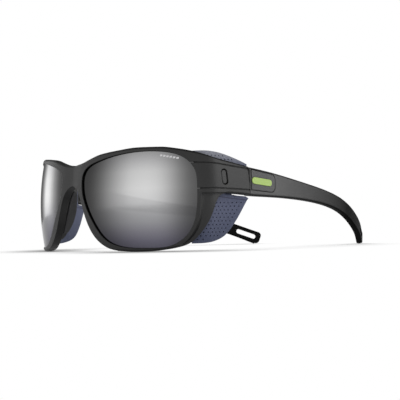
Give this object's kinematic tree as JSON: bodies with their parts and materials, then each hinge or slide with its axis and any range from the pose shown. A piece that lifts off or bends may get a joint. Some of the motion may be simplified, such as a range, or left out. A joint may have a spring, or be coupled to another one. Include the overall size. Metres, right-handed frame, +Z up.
{
  "type": "glacier glasses",
  "caption": "Wrap-around glacier glasses with a dark moulded front, silver mirrored lenses, perforated blue-grey side shields and folding temples.",
  "frame": {"origin": "on the ground below the front of the bridge, in the plane of symmetry; the open glasses stand on z = 0", "axes": "+X is the wearer's left, +Y runs back along the temples, +Z is up"},
  "size_m": [0.1348, 0.1605, 0.0458],
  "materials": {
    "frame_plastic": "satin moulded",
    "temple_plastic": "satin moulded",
    "lens_mirror": "silver mirror coating",
    "shield_sheet": "soft perforated sheet",
    "clip_plastic": "satin moulded",
    "plate_plastic": "satin moulded",
    "emblem_plastic": "lime inlay",
    "pad_rubber": "matte rubber",
    "screw_steel": "machined",
    "nut_brass": "machined"
  },
  "bodies": {
    "front": {"front_frame": "frame_plastic", "lens_left": "lens_mirror", "nose_pad_left": "pad_rubber", "hinge_screw_left": "screw_steel", "hinge_nut_left": "nut_brass", "lens_right": "lens_mirror", "nose_pad_right": "pad_rubber", "hinge_screw_right": "screw_steel", "hinge_nut_right": "nut_brass"},
    "temple_left": {"temple_left": "temple_plastic", "temple_plate_left": "plate_plastic", "temple_emblem_left": "emblem_plastic", "temple_grip_left": "pad_rubber"},
    "shield_left": {"side_shield_left": "shield_sheet", "shield_clip_left": "clip_plastic"},
    "temple_right": {"temple_right": "temple_plastic", "temple_plate_right": "plate_plastic", "temple_emblem_right": "emblem_plastic", "temple_grip_right": "pad_rubber"},
    "shield_right": {"side_shield_right": "shield_sheet", "shield_clip_right": "clip_plastic"}
  },
  "joints": [
    {"name": "temple_left_fold", "type": "hinge", "parent": "front", "child": "temple_left", "pos_m": [0.062, 0.0508, 0.0308], "axis": [0, 0, 1], "range_deg": [0, 85]},
    {"name": "temple_right_fold", "type": "hinge", "parent": "front", "child": "temple_right", "pos_m": [-0.062, 0.0508, 0.0308], "axis": [0, 0, -1], "range_deg": [0, 78]},
    {"name": "shield_left_release", "type": "slide", "parent": "front", "child": "shield_left", "axis": [-1, 0, 0], "range_m": [0, 0.006]},
    {"name": "shield_right_release", "type": "slide", "parent": "front", "child": "shield_right", "axis": [1, 0, 0], "range_m": [0, 0.006]}
  ]
}
